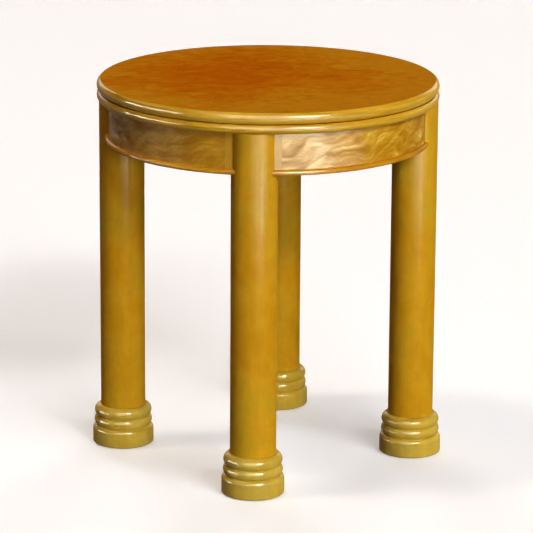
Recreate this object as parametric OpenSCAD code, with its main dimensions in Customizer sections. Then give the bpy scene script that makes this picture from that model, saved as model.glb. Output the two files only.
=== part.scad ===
// Round dining table on four turned columns, in millimetres.
// The origin is on the floor under the middle of the top, +Z is up, and the front column stands on -Y.
// A veneered board and the ring below it each have a bullnosed edging. Four bowed aprons run from column
// to column, and two bearers, halved over each other, tie the columns across the middle.

/* [Top] */
// Diameter over the rounded edges of the top
top_d = 666; // [640:2:720]
// Height of the table
table_h = 750; // [720:1:780]
// Thickness of the veneered board
board_t = 22; // [20:0.5:28]
// Thickness of the ring under the board
ring_t = 18; // [16:0.5:24]
// How far the ring reaches in past the columns
ring_margin = 12; // [8:1:30]
// Width of the solid edging round the board and the ring
edging_w = 7.5; // [7.5:0.5:12]
// Depth of the bullnose on the edging
nose_depth = 7; // [5:0.25:7.5]
// Thickness of the tongue that holds the edging
tongue_t = 6; // [4:0.5:8]
// Length of the tongue on the edging
tongue_l = 6; // [4:0.5:10]

/* [Columns] */
// Diameter of each column
column_d = 88.5; // [84:0.5:94]
// How far a column's outer face stands in from the edge of the top
column_inset = 1.5; // [1:0.5:12]
// Diameter of the tenon on a column's head
head_tenon_d = 36; // [24:1:44]
// Length of the tenon on a column's head
head_tenon_l = 16; // [8:1:16]
// Diameter of the tenon on a column's base
base_tenon_d = 50; // [36:1:60]
// Length of the tenon on a column's base
base_tenon_l = 42; // [20:1:46]

/* [Feet] */
// Diameter of the plinth
plinth_d = 121; // [118:1:136]
// Height of the plinth
plinth_h = 36.5; // [32:0.5:44]
// Rounding of the plinth's top edge
plinth_round = 9; // [6:0.5:12]
// Rounding of the plinth's bottom edge
plinth_base_round = 2.5; // [1:0.5:4]
// Diameter of the lower turned ring
low_ring_d = 115; // [111:0.5:118]
// Height of the lower turned ring
low_ring_h = 19.5; // [16:0.5:22]
// Radius of the lower turned ring's rounding
low_ring_round = 12; // [11.5:0.5:16]
// Diameter of the upper turned ring
high_ring_d = 113.5; // [110:0.5:118]
// Height of the upper turned ring
high_ring_h = 22.5; // [18:0.5:24.5]
// Radius of the upper turned ring's rounding
high_ring_round = 12.5; // [12.5:0.5:14]

/* [Glides] */
// Diameter of the glide under each foot
glide_d = 44; // [30:1:60]
// Thickness of the glide
glide_t = 4; // [3:0.5:6]
// Depth of the recess that holds the glide
glide_recess = 2.5; // [1:0.5:2.5]
// Depth to which a glide's screw head is sunk in its worn face
glide_sink = 1; // [0.5:0.25:1.5]

/* [Apron] */
// How far the apron's outer face stands in from the edge of the top
apron_inset = 22.5; // [18:0.5:32]
// Thickness of the apron
apron_t = 18; // [16:0.5:22]
// Height of the apron's veneered panel
panel_h = 72; // [68:1:86]
// Visible width of the upright strip at each end of the panel
strip_w = 14; // [10:1:20]
// Depth to which the apron's outer face is let into the column
housing = 6; // [3:0.5:8]
// Height of the bead under the panel
bead_h = 10; // [9:0.5:14]
// How far the bead stands out from the panel
bead_out = 7; // [5:0.5:9]
// Depth of the bead's bullnose
bead_nose = 4.5; // [3:0.25:4.5]

/* [Dowels] */
// Diameter of the dowels that hold the apron
dowel_d = 10; // [8:0.5:12]
// Length of a dowel in the column
dowel_in_column = 20; // [12:1:22]
// Length of a dowel in the apron
dowel_in_apron = 28; // [24:1:34]
// Distance of the dowels from the panel's top and bottom edges
dowel_edge = 18; // [14:1:26]

/* [Bearers] */
// Thickness of the bearers
bearer_t = 26; // [22:1:32]
// Height of the bearers
bearer_h = 48; // [42:1:56]
// Thickness of the tenon on a bearer
bearer_tenon_t = 10; // [8:1:14]
// Height of the tenon on a bearer
bearer_tenon_h = 18; // [12:1:20]
// Length of the tenon on a bearer
bearer_tenon_l = 18; // [12:1:24]

/* [Fixing blocks] */
// Length of a fixing block along the apron
block_l = 44; // [36:1:60]
// Depth of a fixing block, measured in from the apron
block_w = 20; // [18:1:26]
// Height of a fixing block
block_h = 24; // [20:1:28]
// Angle between a fixing block and the middle of its apron
block_a = 18; // [14:1:22]

/* [Screws] */
// Shank diameter of the screws
screw_d = 4; // [3.5:0.5:5]
// Head diameter of the screws
head_d = 8; // [7:0.5:9]
// Length of the screws that hold the ring to the board
ring_screw_l = 30; // [26:1:34]
// Angle between neighbouring ring screws in one quarter
ring_screw_a = 22; // [16:1:26]
// Length of the screws in the fixing blocks
block_screw_l = 32; // [28:1:34]
// Length of the screws in the bearers
bearer_screw_l = 40; // [36:1:44]
// Distance of each bearer screw from the middle of the table
bearer_screw_r = 140; // [80:5:180]
// Thickness of wood that a bearer screw's head draws down
bearer_grip = 25; // [22:1:28]
// Length of the glide screws
glide_screw_l = 22; // [16:1:24]

/* [Fits] */
// Gap round glued and seated joints
fit = 0.1; // [0.05:0.05:0.2]
// Space left at the end of a tenon or dowel
end_gap = 1; // [0.5:0.5:2]

/* [Hidden] */
$fn = 96;

// Directions of the four columns from the middle of the table
front = -90;
right = 0;
back = 90;
left = 180;
COLUMNS = [front, right, back, left];

// Heights
board_low = table_h - board_t;
ring_low = board_low - ring_t;
panel_low = ring_low - panel_h;
bead_low = panel_low - bead_h;
foot_low = glide_t - glide_recess;
foot_h = plinth_h + low_ring_h + high_ring_h;
column_low = foot_low + foot_h;
bearer_low = board_low - bearer_h;
bearer_end_h = ring_low - bearer_low;

// Radii from the middle of the table
top_r = top_d / 2;
field_r = top_r - edging_w;
column_r = column_d / 2;
column_c = top_r - column_inset - column_r;
ring_in_r = column_c - column_r - ring_margin;
apron_r = top_r - apron_inset;
apron_in_r = apron_r - apron_t;
apron_mid_r = apron_r - apron_t / 2;

// Angles from a column's direction to the marks on the apron beside it
meet_a = acos((pow(column_c, 2) + pow(apron_r, 2) - pow(column_r, 2)) / (2 * column_c * apron_r));
end_a = meet_a - asin(housing / apron_r);
strip_a = meet_a + asin(strip_w / apron_r);
quarter = 90;

// Smallest overlap of one cutting shape past the face that it cuts
past = 1;

DOWEL_HEIGHTS = [panel_low + dowel_edge, ring_low - dowel_edge];
RING_SCREW_ANGLES = [for (c = COLUMNS, s = [-1, 0, 1]) c + quarter / 2 + s * ring_screw_a];
BLOCK_ANGLES = [for (c = COLUMNS, s = [-1, 1]) c + quarter / 2 + s * block_a];
ring_screw_r = (ring_in_r + apron_in_r - block_w) / 2;
// Sideways distance of a block's two screws from its middle
block_screw_shift = block_l / 4;

// Flat shape of a board's edge: a plain web with a shallow round nose of the given depth
module bullnose(in_r, out_r, low, thick, depth) {
    nose_r = (pow(thick / 2, 2) + pow(depth, 2)) / (2 * depth);
    translate([in_r, low])
        square([out_r - depth - in_r, thick]);
    intersection() {
        translate([out_r - nose_r, low + thick / 2])
            circle(r = nose_r);
        translate([out_r - depth, low])
            square([depth + past, thick]);
    }
}

// Flat shape of the tongue on an edging, let into the board inside it, with room round it when it is a groove
module tongue(low, thick, room) {
    translate([field_r - tongue_l - room, low + (thick - tongue_t) / 2 - room])
        square([tongue_l + 2 * room, tongue_t + 2 * room]);
}

module edging(low, thick) {
    rotate_extrude() {
        bullnose(field_r, top_r, low, thick, nose_depth);
        tongue(low, thick, 0);
    }
}

// Countersunk screw with its head's flat face at the origin and its point up
module screw(length) {
    head_h = (head_d - screw_d) / 2;
    point_h = screw_d;
    rotate_extrude()
        polygon([
            [0, 0],
            [head_d / 2, 0],
            [screw_d / 2, head_h],
            [screw_d / 2, length - point_h],
            [0, length]
        ]);
}

// The hole that takes such a screw, open at the head
module screw_hole(length) {
    head_h = (head_d - screw_d) / 2;
    cylinder(r = screw_d / 2 + fit, h = length + fit);
    cylinder(r1 = head_d / 2 + fit, r2 = screw_d / 2 + fit, h = head_h);
    translate([0, 0, -past])
        cylinder(r = head_d / 2 + fit, h = past);
}

// Everything placed at a column is drawn as if the column stood on +X
module at_column(a) {
    rotate([0, 0, a])
        translate([column_c, 0, 0])
            children();
}

module place_ring_screws() {
    for (a = RING_SCREW_ANGLES)
        rotate([0, 0, a])
            translate([ring_screw_r, 0, ring_low])
                children();
}

// Upright screws through the fixing blocks into the ring
module place_block_up_screws() {
    for (a = BLOCK_ANGLES)
        rotate([0, 0, a])
            translate([apron_in_r - block_w / 2, block_screw_shift, ring_low - block_h])
                children();
}

// Level screws through the fixing blocks into the apron
module place_block_out_screws() {
    for (a = BLOCK_ANGLES)
        rotate([0, 0, a])
            translate([apron_in_r - block_w, -block_screw_shift, ring_low - block_h / 2])
                rotate([0, 90, 0])
                    children();
}

module place_bearer_screws() {
    for (a = COLUMNS)
        rotate([0, 0, a])
            translate([bearer_screw_r, 0, board_low - bearer_grip])
                children();
}

// Dowels at one side of one column, each starting at its end in the column and running into the apron
module place_dowels(a, side) {
    rotate([0, 0, a])
        mirror([0, side < 0 ? 1 : 0, 0])
            rotate([0, 0, end_a])
                for (z = DOWEL_HEIGHTS)
                    translate([apron_mid_r, -dowel_in_column, z])
                        rotate([-90, 0, 0])
                            children();
}

module dowel_holes(a, side) {
    place_dowels(a, side)
        translate([0, 0, -end_gap])
            cylinder(r = dowel_d / 2 + fit, h = dowel_in_column + dowel_in_apron + 2 * end_gap);
}

// A piece of the apron's curve between two angles
module apron_arc(from, to, in_r, out_r, low, high) {
    rotate([0, 0, from])
        rotate_extrude(angle = to - from)
            translate([in_r, low])
                square([out_r - in_r, high - low]);
}

module top_board() {
    color("#a8620f")
        difference() {
            rotate_extrude()
                difference() {
                    translate([0, board_low])
                        square([field_r, board_t]);
                    tongue(board_low, board_t, fit);
                }
            place_ring_screws()
                screw_hole(ring_screw_l);
            place_bearer_screws()
                screw_hole(bearer_screw_l);
        }
}

module board_edging() {
    color("#d9a53c")
        edging(board_low, board_t);
}

module under_ring() {
    color("#c99636")
        difference() {
            rotate_extrude()
                difference() {
                    translate([ring_in_r, ring_low])
                        square([field_r - ring_in_r, ring_t]);
                    tongue(ring_low, ring_t, fit);
                }
            for (a = COLUMNS)
                at_column(a)
                    translate([0, 0, ring_low - past])
                        cylinder(d = head_tenon_d + 2 * fit, h = ring_t + 2 * past);
            place_ring_screws()
                screw_hole(ring_screw_l);
            place_block_up_screws()
                screw_hole(block_screw_l);
        }
}

module ring_edging() {
    color("#d9a53c")
        edging(ring_low, ring_t);
}

module ring_screws() {
    color("#8f8b80")
        place_ring_screws()
            screw(ring_screw_l);
}

// Bearer on the X axis, whole: tenoned into its columns and cut down under the ring
module bearer_bar() {
    reach = column_c - column_r;
    notch_at = sqrt(pow(ring_in_r, 2) - pow(bearer_t / 2, 2)) - fit;
    difference() {
        translate([-reach, -bearer_t / 2, bearer_low])
            cube([2 * reach, bearer_t, bearer_h]);
        for (s = [-1, 1])
            translate([s > 0 ? notch_at : -reach - past, -bearer_t, ring_low])
                cube([reach - notch_at + past, 2 * bearer_t, ring_t + past]);
    }
}

// Tenon of a bearer and, with room round it, its mortise
module bearer_tenon(side, room) {
    start = column_c - column_r - bearer_tenon_l;
    far = column_c - column_r + bearer_tenon_l + (room > 0 ? end_gap : 0);
    low = bearer_low + (bearer_end_h - bearer_tenon_h) / 2;
    translate([side > 0 ? start : -far, -bearer_tenon_t / 2 - room, low - room])
        cube([far - start, bearer_tenon_t + 2 * room, bearer_tenon_h + 2 * room]);
}

// Bearer turned to its place, halved at the middle on its upper or its lower half
module bearer(a, cut_top) {
    half = bearer_h / 2;
    color("#c2a066")
        rotate([0, 0, a])
            difference() {
                union() {
                    difference() {
                        bearer_bar();
                        for (s = [0, 180])
                            at_column(s)
                                cylinder(r = column_r + fit, h = table_h);
                    }
                    for (s = [-1, 1])
                        bearer_tenon(s, 0);
                }
                translate([-bearer_t / 2 - fit, -bearer_t, cut_top ? bearer_low + half : bearer_low - past])
                    cube([bearer_t + 2 * fit, 2 * bearer_t, half + past]);
                for (s = [0, 180])
                    rotate([0, 0, s])
                        translate([bearer_screw_r, 0, 0]) {
                            translate([0, 0, bearer_low - past])
                                cylinder(r = head_d / 2 + fit, h = bearer_h - bearer_grip + past);
                            translate([0, 0, board_low - bearer_grip])
                                screw_hole(bearer_screw_l);
                        }
            }
}

module bearer_across() {
    bearer(right, false);
}

module bearer_front_back() {
    bearer(front, true);
}

module bearer_screws() {
    color("#8f8b80")
        place_bearer_screws()
            screw(bearer_screw_l);
}

// Column with a tenon at each end, housed for its two aprons and mortised for its bearer
module column(a) {
    color("#c08a26")
        difference() {
            at_column(a) {
                translate([0, 0, column_low])
                    cylinder(r = column_r, h = ring_low - column_low);
                translate([0, 0, ring_low])
                    cylinder(d = head_tenon_d, h = head_tenon_l);
                translate([0, 0, column_low - base_tenon_l])
                    cylinder(d = base_tenon_d, h = base_tenon_l);
            }
            for (s = [-1, 1]) {
                rotate([0, 0, a])
                    mirror([0, s < 0 ? 1 : 0, 0])
                        apron_arc(end_a, quarter / 2, apron_in_r - fit, apron_r + fit, panel_low - fit, ring_low + past);
                dowel_holes(a, s);
            }
            rotate([0, 0, a])
                bearer_tenon(1, fit);
        }
}

// Half outline of one turned ring, which is widest at the given height above its own lower edge
module turned_ring(out_r, low, height, round_r, widest) {
    translate([0, low])
        square([out_r - round_r, height]);
    intersection() {
        translate([out_r - round_r, low + widest])
            circle(r = round_r);
        translate([out_r - round_r, low])
            square([round_r + past, height]);
    }
}

// Half outline of a turned foot: a plinth with rounded edges under two rings
module foot_outline() {
    r = plinth_d / 2;
    square([r - plinth_base_round, plinth_h - plinth_round]);
    translate([0, plinth_base_round])
        square([r, plinth_h - plinth_round - plinth_base_round]);
    square([r - plinth_round, plinth_h]);
    translate([r - plinth_round, plinth_h - plinth_round])
        circle(r = plinth_round);
    translate([r - plinth_base_round, plinth_base_round])
        circle(r = plinth_base_round);
    turned_ring(low_ring_d / 2, plinth_h, low_ring_h, low_ring_round, low_ring_h / 2);
    turned_ring(high_ring_d / 2, plinth_h + low_ring_h, high_ring_h, high_ring_round, high_ring_h - high_ring_round);
}

module foot(a) {
    socket_l = base_tenon_l + end_gap;
    color("#b8a03a")
        at_column(a)
            translate([0, 0, foot_low])
                difference() {
                    rotate_extrude()
                        foot_outline();
                    translate([0, 0, foot_h - socket_l])
                        cylinder(d = base_tenon_d + 2 * fit, h = socket_l + past);
                    translate([0, 0, -past])
                        cylinder(d = glide_d + 2 * fit, h = glide_recess + past);
                    cylinder(r = screw_d / 2 + fit, h = glide_screw_l);
                }
}

module glide(a) {
    chamfer = (glide_t - glide_recess) / 2;
    color("#d8d2c0")
        at_column(a)
            difference() {
                rotate_extrude()
                    polygon([
                        [0, 0],
                        [glide_d / 2 - chamfer, 0],
                        [glide_d / 2, chamfer],
                        [glide_d / 2, glide_t],
                        [0, glide_t]
                    ]);
                translate([0, 0, glide_sink])
                    screw_hole(glide_screw_l);
            }
}

module glide_screws() {
    color("#8f8b80")
        for (a = COLUMNS)
            at_column(a)
                translate([0, 0, glide_sink])
                    screw(glide_screw_l);
}

// Veneered panel of the apron that runs from the column at angle a to the next one
module apron(a) {
    color("#c8923c")
        difference() {
            apron_arc(a + strip_a, a + quarter - strip_a, apron_in_r, apron_r, panel_low, ring_low);
            dowel_holes(a, 1);
            dowel_holes(a + quarter, -1);
            place_block_out_screws()
                screw_hole(block_screw_l);
        }
}

// Upright solid strip that ends the apron at one side of the column at angle a
module strip(a, side) {
    color("#d0a042")
        difference() {
            rotate([0, 0, a])
                mirror([0, side < 0 ? 1 : 0, 0])
                    apron_arc(end_a, strip_a, apron_in_r, apron_r, panel_low, ring_low);
            dowel_holes(a, side);
        }
}

// Bullnosed bead under the apron, coped to the columns at its ends
module bead(a) {
    color("#d8952c")
        difference() {
            rotate([0, 0, a])
                rotate_extrude(angle = quarter)
                    bullnose(apron_in_r, apron_r + bead_out, bead_low, bead_h, bead_nose);
            for (c = [a, a + quarter])
                at_column(c)
                    translate([0, 0, bead_low - past])
                        cylinder(r = column_r + fit, h = bead_h + 2 * past);
        }
}

module apron_dowels() {
    color("#e0c890")
        for (a = COLUMNS, s = [-1, 1])
            place_dowels(a, s)
                cylinder(d = dowel_d, h = dowel_in_column + dowel_in_apron);
}

// Block in the corner of apron and ring, rounded to the apron, screwed to both
module block(a) {
    color("#c2a066")
        difference() {
            intersection() {
                rotate([0, 0, a])
                    translate([apron_in_r - block_w, -block_l / 2, ring_low - block_h])
                        cube([block_w, block_l, block_h]);
                translate([0, 0, ring_low - block_h - past])
                    cylinder(r = apron_in_r - fit, h = block_h + 2 * past);
            }
            place_block_up_screws()
                screw_hole(block_screw_l);
            place_block_out_screws()
                screw_hole(block_screw_l);
        }
}

module block_screws() {
    color("#8f8b80") {
        place_block_up_screws()
            screw(block_screw_l);
        place_block_out_screws()
            screw(block_screw_l);
    }
}

top_board();
board_edging();
under_ring();
ring_edging();
ring_screws();
column(front);  // column_front
column(right);  // column_right
column(back);  // column_back
column(left);  // column_left
foot(front);  // foot_front
foot(right);  // foot_right
foot(back);  // foot_back
foot(left);  // foot_left
glide(front);  // glide_front
glide(right);  // glide_right
glide(back);  // glide_back
glide(left);  // glide_left
glide_screws();
apron(front);  // apron_front_right
apron(right);  // apron_back_right
apron(back);  // apron_back_left
apron(left);  // apron_front_left
bead(front);  // bead_front_right
bead(right);  // bead_back_right
bead(back);  // bead_back_left
bead(left);  // bead_front_left
strip(front, 1);  // strip_front_to_right
strip(right, -1);  // strip_right_to_front
strip(right, 1);  // strip_right_to_back
strip(back, -1);  // strip_back_to_right
strip(back, 1);  // strip_back_to_left
strip(left, -1);  // strip_left_to_back
strip(left, 1);  // strip_left_to_front
strip(front, -1);  // strip_front_to_left
apron_dowels();
bearer_across();
bearer_front_back();
bearer_screws();
block(BLOCK_ANGLES[0]);  // block_front_right_a
block(BLOCK_ANGLES[1]);  // block_front_right_b
block(BLOCK_ANGLES[2]);  // block_back_right_a
block(BLOCK_ANGLES[3]);  // block_back_right_b
block(BLOCK_ANGLES[4]);  // block_back_left_a
block(BLOCK_ANGLES[5]);  // block_back_left_b
block(BLOCK_ANGLES[6]);  // block_front_left_a
block(BLOCK_ANGLES[7]);  // block_front_left_b
block_screws();
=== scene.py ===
"""Looks of a round dining table: lacquered wood pieces, hidden inner work and a plain studio.

Lengths are in metres and angles in degrees.
"""

import logging
import math
from dataclasses import dataclass, field
from enum import Enum
from typing import Any, ClassVar, Optional, Union

import bpy
from mathutils import Euler, Matrix, Vector


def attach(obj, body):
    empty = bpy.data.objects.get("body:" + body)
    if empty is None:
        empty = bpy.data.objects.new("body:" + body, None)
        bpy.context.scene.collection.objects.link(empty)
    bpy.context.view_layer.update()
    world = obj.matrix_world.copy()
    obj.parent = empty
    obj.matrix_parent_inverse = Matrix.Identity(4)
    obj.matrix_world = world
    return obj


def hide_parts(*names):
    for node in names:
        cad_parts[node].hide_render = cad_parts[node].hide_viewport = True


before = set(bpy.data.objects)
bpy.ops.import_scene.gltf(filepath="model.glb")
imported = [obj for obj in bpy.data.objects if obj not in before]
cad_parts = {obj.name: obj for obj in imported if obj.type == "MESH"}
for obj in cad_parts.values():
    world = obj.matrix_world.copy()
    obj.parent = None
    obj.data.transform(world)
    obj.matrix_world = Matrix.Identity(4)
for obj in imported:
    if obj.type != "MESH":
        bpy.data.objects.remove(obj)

LOG = logging.getLogger("dining_table")
Colour = tuple[float, float, float, float]
Tint = tuple[float, float, float]
Span = tuple[float, float]
Number = Union[int, float]

# Points that are nearer to each other than this are one point
MERGE_DISTANCE = 0.000001
# Distance of each column's axis from the table's middle
COLUMN_PLACE = 0.28725
# Flats round a column, a foot and the cutter that copes the beads to the columns
TURNED_STEPS = 128
# Light of the plain lamps
WHITE: Tint = (1.0, 1.0, 1.0)
# Light of the cards that the lacquer mirrors
CREAM: Tint = (0.97, 1.0, 0.84)


def lacquered(red: int, green: int, blue: int) -> Colour:
    """Turns a colour as it is seen on a screen into the linear colour that a shader takes.

    Args:
        red: Red, from 0 to 255.
        green: Green, from 0 to 255.
        blue: Blue, from 0 to 255.

    Returns:
        The linear colour with full cover.
    """
    parts = []
    for value in (red, green, blue):
        share = value / 255
        parts.append(share / 12.92 if share <= 0.04045 else ((share + 0.055) / 1.055) ** 2.4)
    return (parts[0], parts[1], parts[2], 1.0)


class Side(Enum):
    """The four columns, with each one's direction from the middle in degrees."""

    FRONT = -90.0
    RIGHT = 0.0
    BACK = 90.0
    LEFT = 180.0

    @property
    def word(self) -> str:
        """Name of the side as the nodes have it."""
        return self.name.lower()


class Corner(Enum):
    """The four aprons, each with the column that it starts at and the one that it runs to."""

    FRONT_RIGHT = (Side.FRONT, Side.RIGHT)
    BACK_RIGHT = (Side.RIGHT, Side.BACK)
    BACK_LEFT = (Side.BACK, Side.LEFT)
    FRONT_LEFT = (Side.LEFT, Side.FRONT)

    @property
    def word(self) -> str:
        """Name of the corner as the nodes have it."""
        return self.name.lower()


class GrainAxis(Enum):
    """Direction in which the fibres of a planed piece run."""

    X = 0
    Y = 1


class Channel:
    """A shader socket that takes part in Python expressions."""

    def __init__(self, recipe: "Recipe", socket: bpy.types.NodeSocket) -> None:
        """Wraps one output socket of the given recipe."""
        self.recipe = recipe
        self.socket = socket

    def __add__(self, other: Union["Channel", Number]) -> "Channel":
        """Sum of two channels."""
        return self.recipe.maths("ADD", self, other)

    def __radd__(self, other: Number) -> "Channel":
        """Sum of a number and a channel."""
        return self.recipe.maths("ADD", other, self)

    def __sub__(self, other: Union["Channel", Number]) -> "Channel":
        """Difference of two channels."""
        return self.recipe.maths("SUBTRACT", self, other)

    def __rsub__(self, other: Number) -> "Channel":
        """Difference of a number and a channel."""
        return self.recipe.maths("SUBTRACT", other, self)

    def __mul__(self, other: Union["Channel", Number]) -> "Channel":
        """Product of two channels."""
        return self.recipe.maths("MULTIPLY", self, other)

    def __rmul__(self, other: Number) -> "Channel":
        """Product of a number and a channel."""
        return self.recipe.maths("MULTIPLY", other, self)

    def __truediv__(self, other: Union["Channel", Number]) -> "Channel":
        """Quotient of two channels."""
        return self.recipe.maths("DIVIDE", self, other)


class Recipe:
    """The node tree of one finish."""

    def __init__(self, tree: bpy.types.NodeTree) -> None:
        """Starts a recipe in the given node tree."""
        self.tree = tree

    def node(
        self,
        kind: str,
        settings: Optional[dict[str, Any]] = None,
        sockets: Optional[dict[Union[str, int], Any]] = None,
    ) -> bpy.types.Node:
        """Adds a node, sets it up and then feeds its sockets.

        Args:
            kind: Blender's name for the type of node.
            settings: Properties of the node, or the stops of a colour ramp as position and colour.
            sockets: Values or channels for the inputs, by name or number.

        Returns:
            The new node.
        """
        made = self.tree.nodes.new(kind)
        for key, value in (settings or {}).items():
            if key == "stops":
                ramp = made.color_ramp
                while len(ramp.elements) < len(value):
                    ramp.elements.new(1.0)
                for element, (position, colour) in zip(ramp.elements, value):
                    element.position = position
                    element.color = colour
            else:
                setattr(made, key, value)
        self.feed(made, sockets or {})
        return made

    def feed(self, made: bpy.types.Node, sockets: dict[Union[str, int], Any]) -> None:
        """Feeds a node's inputs, by name or number, with values and channels."""
        for key, value in sockets.items():
            if isinstance(value, Channel):
                self.tree.links.new(value.socket, made.inputs[key])
            else:
                made.inputs[key].default_value = value

    def out(self, made: bpy.types.Node, output: Union[str, int] = 0) -> Channel:
        """One output of a node as a channel."""
        return Channel(self, made.outputs[output])

    def maths(self, operation: str, *values: Union[Channel, Number]) -> Channel:
        """Adds a Math node on channels and numbers."""
        return self.out(self.node("ShaderNodeMath", {"operation": operation}, dict(enumerate(values))))

    def place(self) -> tuple[Channel, Channel, Channel]:
        """Place on the object, in metres, as its three parts."""
        where = self.node("ShaderNodeTexCoord")
        parts = self.node("ShaderNodeSeparateXYZ", None, {0: self.out(where, "Object")})
        return self.out(parts, 0), self.out(parts, 1), self.out(parts, 2)

    def joined(self, *parts: Union[Channel, Number]) -> Channel:
        """Vector made of three parts."""
        return self.out(self.node("ShaderNodeCombineXYZ", None, dict(enumerate(parts))))

    def noise(
        self,
        where: Channel,
        detail: float = 3.0,
        roughness: float = 0.5,
        distortion: float = 0.0,
        depth: Optional[Union[Channel, Number]] = None,
    ) -> Channel:
        """Adds a noise whose cells are one unit of the given place.

        Args:
            where: Place in the noise.
            detail: Number of finer layers.
            roughness: Weight of the finer layers.
            distortion: How far the noise bends itself.
            depth: Place along the fourth direction, where the noise has one.

        Returns:
            A value that is 0.5 on average.
        """
        settings = {"noise_dimensions": "3D" if depth is None else "4D"}
        sockets = {"Vector": where, "Scale": 1.0, "Detail": detail, "Roughness": roughness}
        sockets["Distortion"] = distortion
        if depth is not None:
            sockets["W"] = depth
        return self.out(self.node("ShaderNodeTexNoise", settings, sockets), 0)

    def spread(self, value: Channel, low: float, high: float) -> Channel:
        """Stretches the part between low and high to 0 to 1 and cuts off the rest."""
        sockets = {"Value": value, "From Min": low, "From Max": high, "To Min": 0.0, "To Max": 1.0}
        return self.out(self.node("ShaderNodeMapRange", {"clamp": True}, sockets))

    def ramp(self, factor: Channel, stops: tuple[tuple[float, Colour], ...]) -> Channel:
        """Colour ramp over a factor."""
        return self.out(self.node("ShaderNodeValToRGB", {"stops": stops}, {0: factor}))

    def mixed(
        self,
        factor: Union[Channel, Number],
        first: Union[Channel, Colour],
        second: Union[Channel, Colour],
        blend: str = "MIX",
    ) -> Channel:
        """Mixes two colours.

        Args:
            factor: Share of the second colour.
            first: Colour at no factor.
            second: Colour at full factor.
            blend: Blender's name for the way of mixing.

        Returns:
            The mixed colour.
        """
        settings = {"data_type": "RGBA", "blend_type": blend}
        return self.out(self.node("ShaderNodeMix", settings, {0: factor, 6: first, 7: second}), 2)

    def toned(self, colour: Channel, tone: Channel, shade: float) -> Channel:
        """Darkens a colour where a tone is low.

        Args:
            colour: The colour at full tone.
            tone: Brightness pattern from 0 to 1.
            shade: Share of the colour that is left at no tone.

        Returns:
            The colour with its pattern of light and dark.
        """
        grey = self.ramp(tone, ((0.0, (shade, shade, shade, 1.0)), (1.0, (1.0, 1.0, 1.0, 1.0))))
        return self.mixed(1.0, colour, grey, "MULTIPLY")


@dataclass(frozen=True)
class Finish:
    """What every finish has: a name, the constant values of its shader and the contrast of its pattern.

    In the patterns a place is multiplied by the number of cells in a metre, and a bend by how many cells it
    shifts them. A plain number that is added keeps two patterns apart, and layers are added by their weights.
    The contrast is the part of a pattern's range that is stretched over all its colours.
    """

    name: str
    roughness: float = 0.36
    unevenness: float = 0.16
    specular: float = 0.06
    coat: float = 0.16
    coat_roughness: float = 0.07
    metallic: float = 0.0
    relief_depth: float = 0.00004
    contrast: Span = (0.34, 0.66)

    def colour(self, recipe: Recipe) -> Channel:
        """Colour over the surface."""
        raise NotImplementedError

    def relief(self, recipe: Recipe) -> Channel:
        """Height over the surface, from 0 to 1."""
        x, y, z = recipe.place()
        return recipe.noise(recipe.joined(x * 90, y * 90, z * 90), 2.0)

    def polish(self, recipe: Recipe) -> Channel:
        """Roughness over the surface: a slow cloud round the finish's own value."""
        x, y, z = recipe.place()
        cloud = recipe.noise(recipe.joined(x * 14, y * 14, z * 14), 3.0)
        return (cloud - 0.5) * self.unevenness + self.roughness

    def varnish(self, recipe: Recipe) -> Union[Channel, float]:
        """Weight of the coat, which is the same all over unless a finish varies it."""
        return self.coat

    def material(self) -> bpy.types.Material:
        """Builds the material, or returns it if it is there already."""
        key = f"finish_{self.name}"
        if key in bpy.data.materials:
            return bpy.data.materials[key]
        made = bpy.data.materials.new(key)
        made.use_nodes = True
        recipe = Recipe(made.node_tree)
        height = {"Strength": 1.0, "Distance": self.relief_depth, "Height": self.relief(recipe)}
        sockets = {
            "Base Color": self.colour(recipe),
            "Metallic": self.metallic,
            "Roughness": self.polish(recipe),
            "Specular IOR Level": self.specular,
            "Coat Weight": self.varnish(recipe),
            "Coat Roughness": self.coat_roughness,
            "Normal": recipe.out(recipe.node("ShaderNodeBump", None, height)),
        }
        recipe.feed(made.node_tree.nodes["Principled BSDF"], sockets)
        return made


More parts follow.
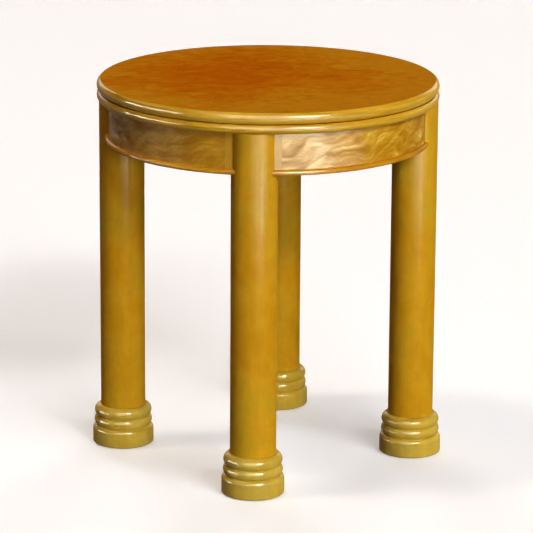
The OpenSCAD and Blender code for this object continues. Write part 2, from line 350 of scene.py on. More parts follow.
@dataclass(frozen=True)
class CloudyVeneer(Finish):
    """Mottled veneer of the top: slow clouds, small puddles of figure and fine short fibres."""

    russet: Colour = lacquered(178, 88, 3)
    amber: Colour = lacquered(182, 103, 7)
    honey: Colour = lacquered(187, 121, 18)
    shade: float = 0.76
    lean: float = 0.2
    paler_rim: float = 1.8
    deeper_middle: float = 0.06
    contrast: Span = (0.39, 0.61)

    def colour(self, recipe: Recipe) -> Channel:
        """Orange brown that drifts to amber, mottled darker and lighter."""
        x, y, z = recipe.place()
        drift = recipe.noise(recipe.joined(x * 6, y * 6, z), 2.0) - 0.5
        sway = recipe.noise(recipe.joined(x * 21 + 7.0, y * 21, z), 2.0) - 0.5
        slow = recipe.noise(recipe.joined(x * 3.1 + 3.1, y * 4.2 + 1.3, z), 3.0, 0.5)
        clouds = recipe.noise(recipe.joined(x * 9 + drift * 2, y * 26 + drift * 3, z), 4.0, 0.6)
        stops = ((0.0, self.russet), (0.5, self.amber), (1.0, self.honey))
        puddles = recipe.noise(recipe.joined(x * 40 + sway * 3, y * 62 + sway * 4, z), 3.0, 0.6, 0.4)
        paler = (x * x + y * y) * self.paler_rim + x * self.lean - self.deeper_middle
        hue = recipe.spread(slow * 0.34 + clouds * 0.33 + puddles * 0.33 + paler, *self.contrast)
        flecks = recipe.noise(recipe.joined(x * 70 + sway * 5, y * 260 + sway * 12, z), 3.0, 0.6, 0.2)
        lines = recipe.noise(recipe.joined(x * 5, y * 150 + drift * 22 + sway * 5, z), 3.0, 0.6)
        fibres = recipe.noise(recipe.joined(x * 16 + sway, y * 620 + drift * 60 + sway * 9, z), 3.0, 0.65)
        tone = recipe.spread(puddles * 0.32 + flecks * 0.18 + lines * 0.24 + fibres * 0.26, *self.contrast)
        return recipe.toned(recipe.ramp(hue, stops), tone, self.shade)

    def relief(self, recipe: Recipe) -> Channel:
        """Faint fibres under the lacquer."""
        x, y, z = recipe.place()
        return recipe.noise(recipe.joined(x * 60, y * 500, z * 60), 2.0)


@dataclass(frozen=True)
class RingGrain(Finish):
    """Solid wood bent or cut round the table, with fibres that follow the curve."""

    dark: Colour = lacquered(164, 116, 16)
    middle: Colour = lacquered(192, 148, 34)
    light: Colour = lacquered(212, 172, 62)
    streak_turns: float = 2.6
    fineness: float = 300.0
    broad_turns: float = 4.0
    broadness: float = 40.0
    # Height where the two edgings meet, the distances over which a painted shade fades out of the groove
    # there, and the dark brown of that painted shade
    seam: Optional[float] = None
    seam_edge: Span = (0.0002, 0.0012)
    painted_groove_shade: Colour = lacquered(84, 40, 6)
    contrast: Span = (0.3, 0.7)

    def fibre(self, recipe: Recipe, along: float, across: float) -> Channel:
        """Noise drawn out round the table.

        Args:
            recipe: The recipe that it belongs to.
            along: Cells in one radian.
            across: Cells in one metre across the fibres.

        Returns:
            The noise.
        """
        x, y, z = recipe.place()
        radius = recipe.maths("SQRT", x * x + y * y)
        where = recipe.joined(x / radius * along, y / radius * along, z * across)
        return recipe.noise(where, 3.0, 0.55, depth=radius * across)

    def colour(self, recipe: Recipe) -> Channel:
        """Honey colour with darker and lighter streaks, and a painted shade that darkens the groove at the
        seam where one is given.
        """
        fine = self.fibre(recipe, self.streak_turns, self.fineness)
        broad = self.fibre(recipe, self.broad_turns, self.broadness)
        stops = ((0.0, self.dark), (0.5, self.middle), (1.0, self.light))
        wood = recipe.ramp(recipe.spread(fine * 0.5 + broad * 0.5, *self.contrast), stops)
        if self.seam is None:
            return wood
        # Painted shade: the groove where the two edgings meet turns dark brown, fading back to the wood
        # within seam_edge of the seam
        off = recipe.maths("ABSOLUTE", recipe.place()[2] - self.seam)
        return recipe.mixed(recipe.spread(off, *self.seam_edge), self.painted_groove_shade, wood)

    def relief(self, recipe: Recipe) -> Channel:
        """Fine fibres."""
        return self.fibre(recipe, self.streak_turns * 2, self.fineness * 1.5)


@dataclass(frozen=True)
class CloseGrain(Finish):
    """Close-grained solid wood with upright fibres, a soft curl across them and a slow change of hue."""

    warm: Colour = lacquered(195, 139, 16)
    gold: Colour = lacquered(201, 149, 24)
    olive: Colour = lacquered(195, 152, 28)
    shade: float = 0.76
    curl: float = 0.4
    pores: float = 420.0
    tone_contrast: Span = (0.3, 0.66)

    def colour(self, recipe: Recipe) -> Channel:
        """Gold that drifts to brown and to olive, with curls and faint pores."""
        x, y, z = recipe.place()
        bend = recipe.noise(recipe.joined(x * 9, y * 9, z * 3), 2.0) - 0.5
        slow = recipe.noise(recipe.joined(x * 17 + 2.0, y * 17, z * 14 + bend * 2), 3.0, 0.55)
        stops = ((0.0, self.warm), (0.5, self.gold), (1.0, self.olive))
        hue = recipe.ramp(recipe.spread(slow, *self.contrast), stops)
        bent = recipe.joined(x * 24 + bend * 4, y * 24 + bend * 4, z * 40 + bend * 7)
        curls = recipe.noise(bent, 3.0, 0.55, 0.3)
        bands = recipe.noise(recipe.joined(x * 58 + bend * 6, y * 58 + bend * 6, z * 3.5), 2.0)
        upright = recipe.joined(x * self.pores + bend * 12, y * self.pores + bend * 12, z * 24)
        fine = recipe.noise(upright, 2.0, 0.6)
        rest = 1.0 - self.curl
        tone = curls * self.curl + bands * (0.45 * rest) + fine * (0.55 * rest)
        return recipe.toned(hue, recipe.spread(tone, *self.tone_contrast), self.shade)

    def relief(self, recipe: Recipe) -> Channel:
        """Fine upright fibres."""
        x, y, z = recipe.place()
        return recipe.noise(recipe.joined(x * 400, y * 400, z * 14), 2.0)


@dataclass(frozen=True)
class FiguredVeneer(Finish):
    """Veneer with a flame figure that is drawn out along the apron and breaks into swirls."""

    brown: Colour = lacquered(148, 96, 6)
    amber: Colour = lacquered(167, 116, 12)
    gold: Colour = lacquered(190, 144, 28)
    cream: Colour = lacquered(216, 179, 66)
    shimmer: float = 0.18
    slant: float = 0.3

    def flame(self, recipe: Recipe) -> Channel:
        """The figure itself."""
        x, y, z = recipe.place()
        turn = recipe.noise(recipe.joined(x * 12, y * 12, z * 15), 2.0) - 0.5
        lift = recipe.noise(recipe.joined(x * 11 + 4.0, y * 11, z * 14), 2.0) - 0.5
        rise = z - x * self.slant
        where = recipe.joined(x * 20 + turn * 2.2, y * 20 + turn * 2.2, rise * 96 + lift * 7)
        return recipe.noise(where, 3.0, 0.5)

    def varnish(self, recipe: Recipe) -> Channel:
        """The coat shines most where the figure is pale."""
        return recipe.spread(self.flame(recipe), *self.contrast) * self.shimmer + self.coat

    def colour(self, recipe: Recipe) -> Channel:
        """Amber that flames from brown to cream."""
        x, y, z = recipe.place()
        bend = recipe.noise(recipe.joined(x * 8, y * 8, z * 8), 1.0) - 0.5
        clouds = recipe.noise(recipe.joined(x * 15, y * 15, z * 24 + bend * 3), 2.0)
        drawn = recipe.joined(x * 30 + bend * 5, y * 30 + bend * 5, z * 190 + bend * 30)
        wisps = recipe.noise(drawn, 3.0, 0.6)
        fibres = recipe.noise(recipe.joined(x * 90, y * 90, z * 900 + bend * 60), 2.0)
        tone = self.flame(recipe) * 0.42 + clouds * 0.3 + wisps * 0.18 + fibres * 0.1
        stops = ((0.0, self.brown), (0.42, self.amber), (0.76, self.gold), (1.0, self.cream))
        return recipe.ramp(recipe.spread(tone, *self.contrast), stops)

    def relief(self, recipe: Recipe) -> Channel:
        """The figure stands out a little under the lacquer."""
        return self.flame(recipe)


@dataclass(frozen=True)
class PlanedWood(Finish):
    """Bare planed hardwood of the hidden pieces."""

    dark: Colour = lacquered(168, 128, 78)
    middle: Colour = lacquered(198, 160, 106)
    light: Colour = lacquered(216, 184, 134)
    axis: GrainAxis = GrainAxis.X
    contrast: Span = (0.32, 0.68)

    def stretched(self, recipe: Recipe, along: float, across: float) -> Channel:
        """Place drawn out along the fibres.

        Args:
            recipe: The recipe that it belongs to.
            along: Cells in one metre along the fibres.
            across: Cells in one metre across them.

        Returns:
            The place.
        """
        cells = [across, across, across]
        cells[self.axis.value] = along
        return recipe.joined(*(part * count for part, count in zip(recipe.place(), cells)))

    def colour(self, recipe: Recipe) -> Channel:
        """Pale brown with long fibres."""
        tone = recipe.noise(self.stretched(recipe, 7, 260), 3.0, 0.6) * 0.5
        tone = tone + recipe.noise(self.stretched(recipe, 2.4, 45), 2.0) * 0.5
        stops = ((0.0, self.dark), (0.5, self.middle), (1.0, self.light))
        return recipe.ramp(recipe.spread(tone, *self.contrast), stops)

    def relief(self, recipe: Recipe) -> Channel:
        """Open fibres."""
        return recipe.noise(self.stretched(recipe, 16, 500), 2.0)


@dataclass(frozen=True)
class PlainMatter(Finish):
    """Plated steel or moulded nylon: one colour with a slight unevenness."""

    base: Colour = lacquered(200, 196, 184)
    spot_shade: float = 0.12
    contrast: Span = (0.35, 0.65)

    def colour(self, recipe: Recipe) -> Channel:
        """The colour, darker in faint spots."""
        x, y, z = recipe.place()
        spots = recipe.noise(recipe.joined(x * 600, y * 600, z * 600), 2.0)
        darker = tuple(part * (1 - self.spot_shade) for part in self.base[:3]) + (1.0,)
        return recipe.ramp(recipe.spread(spots, *self.contrast), ((0.0, darker), (1.0, self.base)))


TOP_VENEER = CloudyVeneer("top_veneer", specular=0.0, coat=0.03)
# The seam at 0.728 m gets a painted shade in the groove between the two edgings
EDGING = RingGrain(
    "edging", specular=0.0, coat=0.15, coat_roughness=0.05, relief_depth=0.00001, seam=0.728
)
BEAD_WOOD = RingGrain(
    "bead_wood",
    specular=0.0,
    coat=0.12,
    coat_roughness=0.05,
    dark=lacquered(160, 100, 8),
    middle=lacquered(186, 130, 22),
    light=lacquered(204, 154, 44),
)
RING_WOOD = RingGrain("ring_wood", roughness=0.42, coat=0.1, streak_turns=1.6, fineness=140.0)
COLUMN_WOOD = CloseGrain("column_wood", specular=0.0, coat=0.034, coat_roughness=0.17)
FOOT_WOOD = CloseGrain(
    "foot_wood",
    specular=0.0,
    coat=0.13,
    warm=lacquered(193, 155, 44),
    gold=lacquered(199, 166, 58),
    olive=lacquered(195, 168, 68),
    curl=0.5,
)
STRIP_WOOD = CloseGrain(
    "strip_wood",
    specular=0.0,
    coat=0.13,
    coat_roughness=0.2,
    warm=lacquered(174, 124, 16),
    gold=lacquered(184, 137, 26),
    olive=lacquered(180, 139, 32),
    curl=0.2,
)
APRON_VENEER = FiguredVeneer("apron_veneer", specular=0.0, coat=0.05, coat_roughness=0.24)
INNER_ALONG_X = PlanedWood("inner_wood_x", roughness=0.6, coat=0.0)
INNER_ALONG_Y = PlanedWood("inner_wood_y", roughness=0.6, coat=0.0, axis=GrainAxis.Y)
SCREW_STEEL = PlainMatter("screw_steel", roughness=0.36, specular=0.5, coat=0.0, metallic=1.0)
GLIDE_NYLON = PlainMatter("glide_nylon", roughness=0.5, specular=0.5, coat=0.0, base=lacquered(226, 222, 208))


class Bench:
    """Steps that every piece goes through on its way from outline to finished mesh."""

    SMOOTH_BELOW = 35.0
    BEVEL_ABOVE = 40.0
    BEVEL_SEGMENTS = 2

    @staticmethod
    def clear() -> None:
        """Deselects all objects, also the CAD nodes that the loading left selected."""
        bpy.ops.object.select_all(action="DESELECT")

    @staticmethod
    def pick(piece: bpy.types.Object) -> None:
        """Selects a piece alone and makes it the active one."""
        Bench.clear()
        piece.select_set(True)
        bpy.context.view_layer.objects.active = piece

    @staticmethod
    def settle(piece: bpy.types.Object) -> None:
        """Moves a piece's place and turn into its mesh."""
        Bench.pick(piece)
        bpy.ops.object.transform_apply(location=True, rotation=True, scale=True)

    @staticmethod
    def turn(piece: bpy.types.Object, degrees: float) -> None:
        """Turns a piece about the table's middle and keeps the turn in its mesh."""
        piece.rotation_euler = (0.0, 0.0, math.radians(degrees))
        Bench.settle(piece)

    @staticmethod
    def smooth(piece: bpy.types.Object) -> None:
        """Shades a piece smooth but for its sharp edges."""
        Bench.pick(piece)
        bpy.ops.object.shade_smooth_by_angle(angle=math.radians(Bench.SMOOTH_BELOW))
        weighted = piece.modifiers.new("large faces lead", "WEIGHTED_NORMAL")
        weighted.keep_sharp = True
        bpy.ops.object.modifier_apply(modifier=weighted.name)

    @staticmethod
    def soften(piece: bpy.types.Object, width: float) -> None:
        """Takes the sharp edges off a piece with a fine bevel."""
        Bench.pick(piece)
        bevel = piece.modifiers.new("arris", "BEVEL")
        bevel.width = width
        bevel.segments = Bench.BEVEL_SEGMENTS
        bevel.limit_method = "ANGLE"
        bevel.angle_limit = math.radians(Bench.BEVEL_ABOVE)
        bpy.ops.object.modifier_apply(modifier=bevel.name)

    @staticmethod
    def carve(piece: bpy.types.Object, cutter: bpy.types.Object) -> None:
        """Cuts a cutter's shape out of a piece and removes the cutter."""
        Bench.pick(piece)
        cut = piece.modifiers.new("cope", "BOOLEAN")
        cut.operation = "DIFFERENCE"
        cut.solver = "EXACT"
        cut.object = cutter
        bpy.ops.object.modifier_apply(modifier=cut.name)
        bpy.data.objects.remove(cutter, do_unlink=True)

    @staticmethod
    def stood(pattern: bpy.types.Object, name: str, side: Side) -> bpy.types.Object:
        """Copies a turned pattern, with a mesh of its own, to where a column stands.

        Args:
            pattern: The piece in the table's middle that is copied.
            name: Name of the copy.
            side: Side of the table that it stands at.

        Returns:
            The copy, shaded smooth.
        """
        piece = pattern.copy()
        piece.data = pattern.data.copy()
        piece.name = name
        piece.data.name = name
        bpy.context.collection.objects.link(piece)
        turn = math.radians(side.value)
        piece.rotation_euler = (0.0, 0.0, turn)
        piece.location = (COLUMN_PLACE * math.cos(turn), COLUMN_PLACE * math.sin(turn), 0.0)
        Bench.settle(piece)
        Bench.smooth(piece)
        return piece

    @staticmethod
    def finish(piece: bpy.types.Object, finish: Finish, node: str, slot: str) -> None:
        """Dresses a piece and lets it stand for its node.

        Args:
            piece: The finished piece.
            finish: What it is dressed in.
            node: The node that it stands for.
            slot: The record's material slot; not used.
        """
        piece.data.materials.clear()
        piece.data.materials.append(finish.material())
        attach(piece, "root")
        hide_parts(node)
        LOG.info("%s stands for %s in %s", piece.name, node, finish.name)


class Outline:
    """Outline in the XZ plane, drawn by extruding and spinning one point like a turner's template."""

    SEED_RADIUS = 0.001

    def __init__(self, name: str, x: float, z: float) -> None:
        """Starts an outline of the given name at a point, which a small circle shrinks to."""
        Bench.clear()
        bpy.ops.mesh.primitive_circle_add(vertices=3, radius=self.SEED_RADIUS, location=(x, 0.0, z))
        self.piece = bpy.context.object
        self.piece.name = name
        self.piece.data.name = name
        Bench.settle(self.piece)
        bpy.ops.object.mode_set(mode="EDIT")
        bpy.ops.mesh.select_all(action="SELECT")
        bpy.ops.mesh.merge(type="CENTER")
        self.x = x
        self.z = z

    def line(self, x: float, z: float) -> "Outline":
        """Draws a straight line to a point."""
        step = (x - self.x, 0.0, z - self.z)
        bpy.ops.mesh.extrude_vertices_move(TRANSFORM_OT_translate={"value": step})
        self.x = x
        self.z = z
        return self

    def arc(self, x: float, z: float, degrees: float, steps: int) -> "Outline":
        """Draws an arc round a centre.

        Args:
            x: Centre across.
            z: Centre up.
            degrees: Angle, positive from +X towards +Z.
            steps: Number of straight pieces.

        Returns:
            The outline itself.
        """
        turn = math.radians(degrees)
        axis = (0.0, 1.0 if turn > 0 else -1.0, 0.0)
        bpy.ops.mesh.spin(steps=steps, angle=abs(turn), center=(x, 0.0, z), axis=axis)
        across = self.x - x
        up = self.z - z
        self.x = x + across * math.cos(turn) - up * math.sin(turn)
        self.z = z + across * math.sin(turn) + up * math.cos(turn)
        return self

    @staticmethod
    def merge() -> None:
        """Merges points that lie on each other and selects all that are left."""
        bpy.ops.mesh.select_all(action="SELECT")
        bpy.ops.mesh.remove_doubles(threshold=MERGE_DISTANCE)
        bpy.ops.mesh.select_all(action="SELECT")

    def turned(self, steps: int = TURNED_STEPS) -> bpy.types.Object:
        """Spins the outline once round the Z axis and closes its seam and poles."""
        self.merge()
        bpy.ops.mesh.spin(steps=steps, angle=math.tau, center=(0.0, 0.0, 0.0), axis=(0.0, 0.0, 1.0))
        return self.closed()

    def swept(self, degrees: float, steps: int) -> bpy.types.Object:
        """Fills the outline and sweeps it through an angle from +X towards +Y."""
        self.merge()
        bpy.ops.mesh.edge_face_add()
        angle = math.radians(degrees)
        bpy.ops.mesh.spin(steps=steps, angle=angle, center=(0.0, 0.0, 0.0), axis=(0.0, 0.0, -1.0))
        return self.closed()

    def closed(self) -> bpy.types.Object:
        """Merges doubles, turns the faces outwards and leaves edit mode."""
        self.merge()
        bpy.ops.mesh.normals_make_consistent(inside=False)
        bpy.ops.object.mode_set(mode="OBJECT")
        return self.piece


@dataclass
class Bullnose:
    """Section of a solid edging or bead: flat above and below, with a shallow round nose."""

    inner: float
    outer: float
    low: float
    thick: float
    depth: float
    arris: float = 0.0005
    nose_steps: int = 22
    arris_steps: int = 3

    def outline(self, name: str) -> Outline:
        """Draws the section.

        Args:
            name: Name of the piece.

        Returns:
            The closed outline, still in edit mode.
        """
        high = self.low + self.thick
        nose = ((self.thick / 2) ** 2 + self.depth**2) / (2 * self.depth)
        half = math.degrees(math.asin(self.thick / 2 / nose))
        made = Outline(name, self.inner + self.arris, self.low)
        made.line(self.outer - self.depth, self.low)
        made.arc(self.outer - nose, self.low + self.thick / 2, 2 * half, self.nose_steps)
        made.line(self.inner + self.arris, high)
        made.arc(self.inner + self.arris, high - self.arris, 90, self.arris_steps)
        made.line(self.inner, self.low + self.arris)
        made.arc(self.inner + self.arris, self.low + self.arris, 90, self.arris_steps)
        return made


@dataclass
class EdgeBand:
    """Bullnosed edging round one layer of the top."""

    node: str
    low: float
    thick: float
    inner: float = 0.3255
    outer: float = 0.333
    depth: float = 0.007
    steps: int = 256

    def make(self) -> None:
        """Spins the edging and dresses it."""
        section = Bullnose(self.inner, self.outer, self.low, self.thick, self.depth)
        piece = section.outline(f"band_{self.node}").turned(self.steps)
        Bench.smooth(piece)
        Bench.finish(piece, EDGING, self.node, "edging")


@dataclass
class Pillar:
    """One of the four columns, turned from solid wood."""

    side: Side
    radius: float = 0.04425
    low: float = 0.08
    high: float = 0.71
    arris: float = 0.0008
    arris_steps: int = 4

    def make(self, pattern: bpy.types.Object) -> None:
        """Copies the pattern to this column's place and dresses the copy."""
        piece = Bench.stood(pattern, f"pillar_{self.side.word}", self.side)
        Bench.finish(piece, COLUMN_WOOD, f"column_{self.side.word}", "column_wood")

    @classmethod
    def pattern(cls) -> bpy.types.Object:
        """Turns the column that the others are copied from, in the middle of the table."""
        outline = Outline("pillar_pattern", 0.0, cls.low)
        outline.line(cls.radius - cls.arris, cls.low)
        outline.arc(cls.radius - cls.arris, cls.low + cls.arris, 90, cls.arris_steps)
        outline.line(cls.radius, cls.high)
        outline.line(0.0, cls.high)
        return outline.turned()


@dataclass
class TurnedFoot:
    """Turned foot of a column: a plinth with rounded edges under two rings."""

    side: Side
    low: float = 0.0015
    plinth_radius: float = 0.0605
    plinth_height: float = 0.0365
    plinth_round: float = 0.009
    base_round: float = 0.0025
    lower_radius: float = 0.0575
    lower_height: float = 0.0195
    lower_round: float = 0.012
    upper_radius: float = 0.05675
    upper_height: float = 0.0225
    upper_round: float = 0.0125
    base_steps: int = 5
    shoulder_steps: int = 10
    lower_steps: int = 16
    upper_steps: int = 18

    def make(self, pattern: bpy.types.Object) -> None:
        """Copies the pattern to this foot's place and dresses the copy."""
        piece = Bench.stood(pattern, f"turned_foot_{self.side.word}", self.side)
        Bench.finish(piece, FOOT_WOOD, f"foot_{self.side.word}", "foot_wood")

    @classmethod
    def pattern(cls) -> bpy.types.Object:
        """Turns the foot that the others are copied from, in the middle of the table."""
        plinth_top = cls.low + cls.plinth_height
        lower_top = plinth_top + cls.lower_height
        upper_top = lower_top + cls.upper_height
        shoulder = cls.plinth_radius - cls.plinth_round
        lower_centre = cls.lower_radius - cls.lower_round
        lower_half = math.degrees(math.asin(cls.lower_height / 2 / cls.lower_round))
        lower_end = lower_centre + cls.lower_round * math.cos(math.radians(lower_half))
        upper_centre = cls.upper_radius - cls.upper_round
        upper_start = math.degrees(math.asin((cls.upper_height - cls.upper_round) / cls.upper_round))
        upper_end = upper_centre + cls.upper_round * math.cos(math.radians(upper_start))
        shoulder_turn = math.degrees(math.acos((lower_end - shoulder) / cls.plinth_round))
        outline = Outline("foot_pattern", 0.0, cls.low)
        outline.line(cls.plinth_radius - cls.base_round, cls.low)
        outline.arc(cls.plinth_radius - cls.base_round, cls.low + cls.base_round, 90, cls.base_steps)
        outline.line(cls.plinth_radius, plinth_top - cls.plinth_round)
        outline.arc(shoulder, plinth_top - cls.plinth_round, shoulder_turn, cls.shoulder_steps)
        outline.line(lower_end, plinth_top)
        outline.arc(lower_centre, plinth_top + cls.lower_height / 2, 2 * lower_half, cls.lower_steps)
        outline.line(upper_end, lower_top)
        outline.arc(upper_centre, upper_top - cls.upper_round, 90 + upper_start, cls.upper_steps)
        outline.line(0.0, upper_top)
        return outline.turned()


@dataclass
class BowedApron:
    """Bowed apron between two columns: a veneered panel, a solid strip at each end and a bead below."""

    corner: Corner
    inner: float = 0.2925
    outer: float = 0.3105
    low: float = 0.638
    high: float = 0.71
    end: float = 6.118
    joint: float = 9.81
    arris: float = 0.0004
    bead: Bullnose = field(
        default_factory=lambda: Bullnose(
            inner=0.2925, outer=0.3175, low=0.628, thick=0.01, depth=0.0045, arris=0.0003
        )
    )
    cope_radius: float = 0.04435
    cope_height: float = 0.06
    panel_steps: int = 64
    strip_steps: int = 5
    bead_steps: int = 90

    def arc_piece(self, name: str, start: float, stop: float, steps: int) -> bpy.types.Object:
        """Sweeps a piece of the apron's board between two angles from its first column.

        Args:
            name: Name of the piece.
            start: Angle where it starts, in degrees.
            stop: Angle where it ends.
            steps: Number of flats along the curve.

        Returns:
            The piece, with fine arrises.
        """
        outline = Outline(name, self.inner, self.low)
        outline.line(self.outer, self.low).line(self.outer, self.high)
        outline.line(self.inner, self.high).line(self.inner, self.low)
        piece = outline.swept(stop - start, steps)
        Bench.soften(piece, self.arris)
        Bench.turn(piece, start + self.corner.value[0].value)
        Bench.smooth(piece)
        return piece

    def moulding(self) -> bpy.types.Object:
        """Sweeps the bead and copes it to the two columns."""
        piece = self.bead.outline(f"moulding_{self.corner.word}").swept(90, self.bead_steps)
        for degrees in (0.0, 90.0):
            turn = math.radians(degrees)
            where = (COLUMN_PLACE * math.cos(turn), COLUMN_PLACE * math.sin(turn), self.bead.low)
            Bench.clear()
            bpy.ops.mesh.primitive_cylinder_add(
                vertices=TURNED_STEPS, radius=self.cope_radius, depth=self.cope_height, location=where
            )
            Bench.carve(piece, bpy.context.object)
        Bench.soften(piece, self.arris)
        Bench.turn(piece, self.corner.value[0].value)
        Bench.smooth(piece)
        return piece

    def make(self) -> None:
        """Makes and dresses the panel, the two strips and the bead."""
        first, second = self.corner.value
        word = self.corner.word
        panel = self.arc_piece(f"panel_{word}", self.joint, 90 - self.joint, self.panel_steps)
        Bench.finish(panel, APRON_VENEER, f"apron_{word}", "apron_veneer")
        ends = ((first, second, self.end, self.joint), (second, first, 90 - self.joint, 90 - self.end))
        for near, far, start, stop in ends:
            strip = self.arc_piece(f"stile_{near.word}_to_{far.word}", start, stop, self.strip_steps)
            Bench.finish(strip, STRIP_WOOD, f"strip_{near.word}_to_{far.word}", "strip_wood")
        Bench.finish(self.moulding(), BEAD_WOOD, f"bead_{word}", "bead_wood")


@dataclass
class CarriedNodes:
    """CAD nodes that keep their shape and only get a better material, found by how their names start."""

    finish: Finish
    starts: tuple[str, ...]

    def dress(self) -> None:
        """Gives each node its finish."""
        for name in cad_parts:
            if not name.startswith(self.starts):
                continue
            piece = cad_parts[name]
            piece.data.materials.clear()
            piece.data.materials.append(self.finish.material())
            LOG.info("%s keeps its shape and gets %s", name, self.finish.name)


@dataclass(frozen=True)
class Lamp:
    """What each lamp has: a name and the direction that it shines from, in degrees from +X towards +Y."""

    name: str
    azimuth: float

    def towards(self, elevation: float) -> Vector:
        """Direction from the table to the lamp, for a height above the horizon in degrees."""
        side = math.radians(self.azimuth)
        up = math.radians(elevation)
        return Vector((math.cos(up) * math.cos(side), math.cos(up) * math.sin(side), math.sin(up)))

    def added(self, kind: str, place: Vector, turn: Euler, tint: Tint) -> bpy.types.Object:
        """Adds the lamp.

        Args:
            kind: Blender's name for the type of lamp.
            place: Where it hangs or lies.
            turn: How it is turned. Its light goes against its own Z axis.
            tint: Colour of its light.

        Returns:
            The lamp.
        """
        Bench.clear()
        bpy.ops.object.light_add(type=kind, location=place, rotation=turn)
        lamp = bpy.context.object
        lamp.name = self.name
        lamp.data.color = tint
        return lamp

    def oblong(self, place: Vector, turn: Euler, tint: Tint, size: Span, power: float) -> bpy.types.Object:
        """Adds an oblong lamp that the camera doesn't see.

        Args:
            place: Where its middle is.
            turn: How it is turned.
            tint: Colour of its light.
            size: Its two sides, in metres.
            power: Its whole power, in watts.

        Returns:
            The lamp.
        """
        lamp = self.added("AREA", place, turn, tint)
        lamp.data.shape = "RECTANGLE"
        lamp.data.size, lamp.data.size_y = size
        lamp.data.energy = power
        lamp.visible_camera = False
        return lamp


@dataclass(frozen=True)
class Sun(Lamp):
    """Soft sun: its elevation, its light on a surface that faces it, and its width in degrees."""

    elevation: float
    strength: float
    angle: float
    tint: Tint = WHITE
    distance: ClassVar[float] = 4.0

    def hang(self) -> None:
        """Hangs the sun."""
        place = self.towards(self.elevation)
        turn = place.to_track_quat("Z", "Y").to_euler()
        lamp = self.added("SUN", place * self.distance, turn, self.tint)
        lamp.data.energy = self.strength
        lamp.data.angle = math.radians(self.angle)


@dataclass(frozen=True)
class Softbox(Lamp):
    """Oblong softbox that faces the table: its elevation, its strength as a sun's and its size in degrees."""

    elevation: float
    strength: float
    width: float
    height: float
    tint: Tint = WHITE
    distance: ClassVar[float] = 40.0

    def hang(self) -> bpy.types.Object:
        """Hangs the softbox."""
        place = self.towards(self.elevation)
        turn = place.to_track_quat("Z", "Y").to_euler()
        across = 2 * self.distance * math.tan(math.radians(self.width / 2))
        up = 2 * self.distance * math.tan(math.radians(self.height / 2))
        power = self.strength * math.pi * self.distance**2
        return self.oblong(place * self.distance, turn, self.tint, (across, up), power)


@dataclass(frozen=True)
class Card(Lamp):
    """Pale card that only shows in reflections: its elevation, brightness and size in degrees."""

    elevation: float
    brightness: float
    width: float
    height: float
    tint: Tint = CREAM

    def hang(self) -> None:
        """Hangs the card."""
        share = 4 * math.tan(math.radians(self.width / 2)) * math.tan(math.radians(self.height / 2))
        strength = self.brightness * share
        box = Softbox(self.name, self.azimuth, self.elevation, strength, self.width, self.height, self.tint)
        box.hang().visible_diffuse = False


@dataclass(frozen=True)
class FloorCard(Lamp):
    """Pale card on the floor that only shows in reflections: its two edges, breadth and brightness."""

    near: float
    far: float
    breadth: float
    brightness: float
    tint: Tint = CREAM
    lift: ClassVar[float] = 0.002

    def hang(self) -> None:
        """Lays the card on the floor, face up."""
        place = self.towards(0.0) * ((self.near + self.far) / 2) + Vector((0.0, 0.0, self.lift))
        turn = Euler((math.pi, 0.0, math.radians(self.azimuth)))
        size = (self.far - self.near, self.breadth)
        power = self.brightness * math.pi * size[0] * size[1]
        self.oblong(place, turn, self.tint, size, power).visible_diffuse = False


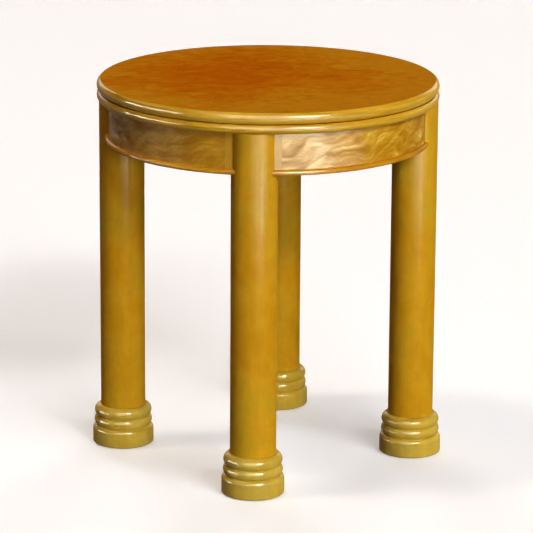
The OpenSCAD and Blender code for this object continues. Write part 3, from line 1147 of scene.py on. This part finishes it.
@dataclass
class Studio:
    """Pale floor, plain surroundings, soft lamps, cards that only show in reflections, and the camera.

    The focal length is in pixels of a picture of the given width.
    """

    camera_distance: float = 6.435
    camera_height_aim: float = 0.36985
    camera_side_aim: float = -0.00101
    camera_pitch: float = 15.01
    camera_roll: float = 0.35
    camera_turn: float = 4.92
    camera_reach: float = 200.0
    focal_pixels: float = 3263.0
    picture_width: float = 533.0
    sensor_width: float = 36.0
    floor_size: float = 80.0
    floor_roughness: float = 0.9
    floor_colour: Colour = (0.93, 0.955, 0.99, 1.0)
    floor_bounce: Colour = (0.1, 0.096, 0.09, 1.0)
    floor_glow: float = 0.18
    horizon: Colour = (0.95, 0.95, 0.95, 1.0)
    horizon_fade: Span = (0.085, 0.13)
    sky: Colour = (0.09, 0.04, 0.016, 1.0)
    lamps: tuple[Union[Sun, Softbox, Card, FloorCard], ...] = (
        Softbox("key_box", azimuth=-53.0, elevation=33.0, strength=2.3, width=40.0, height=5.0),
        Softbox("left_box", azimuth=-166.0, elevation=6.0, strength=0.08, width=48.0, height=5.0),
        Sun("low_sun", azimuth=-56.0, elevation=7.0, strength=1.15, angle=9.0),
        Sun("bounce_sun", azimuth=-48.0, elevation=-15.0, strength=0.45, angle=20.0),
        Sun("left_sun", azimuth=-168.0, elevation=66.0, strength=0.62, angle=9.0, tint=(1.0, 0.84, 0.66)),
        Sun("top_sun", azimuth=-70.0, elevation=84.0, strength=0.1, angle=14.0),
        Sun("back_sun", azimuth=72.0, elevation=18.0, strength=1.1, angle=26.0),
        Sun("rear_sun", azimuth=115.0, elevation=18.0, strength=1.2, angle=26.0),
        Card("front_card", azimuth=-84.0, elevation=31.0, brightness=38.0, width=60.0, height=46.0),
        Card("left_card", azimuth=-169.0, elevation=6.6, brightness=100.0, width=50.0, height=12.0),
        Card("streak_card", azimuth=-57.0, elevation=35.0, brightness=340.0, width=26.0, height=10.0),
        FloorCard("bright_patch", azimuth=-50.0, near=2.3, far=3.6, breadth=0.8, brightness=84.0),
        FloorCard("side_patch", azimuth=-68.0, near=2.3, far=3.6, breadth=0.9, brightness=42.0),
        FloorCard("wide_patch", azimuth=-60.0, near=2.2, far=5.0, breadth=4.4, brightness=46.0),
    )

    def floor(self) -> None:
        """Lays the floor: near white to the eye and in reflections, dim in the light that it throws back."""
        Bench.clear()
        bpy.ops.mesh.primitive_plane_add(size=self.floor_size)
        piece = bpy.context.object
        piece.name = "studio_floor"
        made = bpy.data.materials.new("floor_paint")
        made.use_nodes = True
        recipe = Recipe(made.node_tree)
        seen = self.seen(recipe)
        sockets = {
            "Base Color": recipe.mixed(seen, self.floor_bounce, self.floor_colour),
            "Roughness": self.floor_roughness,
            "Specular IOR Level": 0.0,
            "Emission Color": recipe.joined(seen, seen, seen),
            "Emission Strength": self.floor_glow,
        }
        recipe.feed(made.node_tree.nodes["Principled BSDF"], sockets)
        piece.data.materials.append(made)
        piece.visible_shadow = False

    def world(self) -> None:
        """Makes the surroundings: white to the eye near the horizon, dim in the light that they give."""
        made = bpy.data.worlds.new("studio_world")
        made.use_nodes = True
        bpy.context.scene.world = made
        recipe = Recipe(made.node_tree)
        low = 1.0 - recipe.spread(recipe.place()[2], *self.horizon_fade)
        glow = recipe.mixed(self.seen(recipe) * low, self.sky, self.horizon)
        recipe.feed(made.node_tree.nodes["Background"], {"Color": glow})

    @staticmethod
    def seen(recipe: Recipe) -> Channel:
        """1 for rays of the camera, of reflections and through glass, and 0 for those that only light."""
        path = recipe.node("ShaderNodeLightPath")
        glossy = recipe.out(path, "Is Glossy Ray")
        mirrored = recipe.maths("MAXIMUM", glossy, recipe.out(path, "Is Transmission Ray"))
        return recipe.maths("MAXIMUM", recipe.out(path, "Is Camera Ray"), mirrored)

    def camera(self) -> None:
        """Sets the camera where the photograph was taken from."""
        turn = math.radians(self.camera_turn)
        pitch = math.radians(self.camera_pitch)
        right = Vector((math.cos(turn), math.sin(turn), 0.0))
        level = Vector((-math.sin(turn), math.cos(turn), 0.0))
        up = Vector((0.0, 0.0, 1.0))
        ahead = level * math.cos(pitch) - up * math.sin(pitch)
        above = level * math.sin(pitch) + up * math.cos(pitch)
        aim = right * self.camera_side_aim + up * self.camera_height_aim
        place = aim - ahead * self.camera_distance
        frame_axes = Matrix((right, above, -ahead)).transposed()
        rolled = frame_axes @ Matrix.Rotation(math.radians(self.camera_roll), 3, "Z")
        Bench.clear()
        bpy.ops.object.camera_add(location=place, rotation=rolled.to_euler())
        lens = bpy.context.object
        lens.name = "studio_camera"
        lens.data.sensor_width = self.sensor_width
        lens.data.lens = self.focal_pixels * self.sensor_width / self.picture_width
        lens.data.clip_end = self.camera_reach
        bpy.context.scene.camera = lens

    def make(self) -> None:
        """Sets up the whole studio."""
        self.camera()
        self.floor()
        self.world()
        for lamp in self.lamps:
            lamp.hang()
        bpy.context.scene.view_settings.view_transform = "Standard"
        LOG.info("studio set")


def main() -> None:
    """Builds and dresses the table, piece by piece, and sets up the studio."""
    logging.basicConfig(level=logging.INFO, format="%(name)s: %(message)s")
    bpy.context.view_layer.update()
    Studio().make()
    EdgeBand("board_edging", low=0.728, thick=0.022).make()
    EdgeBand("ring_edging", low=0.71, thick=0.018).make()
    pillar_pattern = Pillar.pattern()
    foot_pattern = TurnedFoot.pattern()
    for side in Side:
        Pillar(side).make(pillar_pattern)
        TurnedFoot(side).make(foot_pattern)
    for pattern in (pillar_pattern, foot_pattern):
        bpy.data.objects.remove(pattern, do_unlink=True)
    for corner in Corner:
        BowedApron(corner).make()
    for carried in (
        CarriedNodes(TOP_VENEER, ("top_board",)),
        CarriedNodes(RING_WOOD, ("under_ring",)),
        CarriedNodes(INNER_ALONG_X, ("bearer_across", "block_front", "block_back", "apron_dowels")),
        CarriedNodes(INNER_ALONG_Y, ("bearer_front_back",)),
        CarriedNodes(SCREW_STEEL, ("ring_screws", "glide_screws", "bearer_screws", "block_screws")),
        CarriedNodes(GLIDE_NYLON, ("glide_front", "glide_right", "glide_back", "glide_left")),
    ):
        carried.dress()


if __name__ == "__main__":
    main()
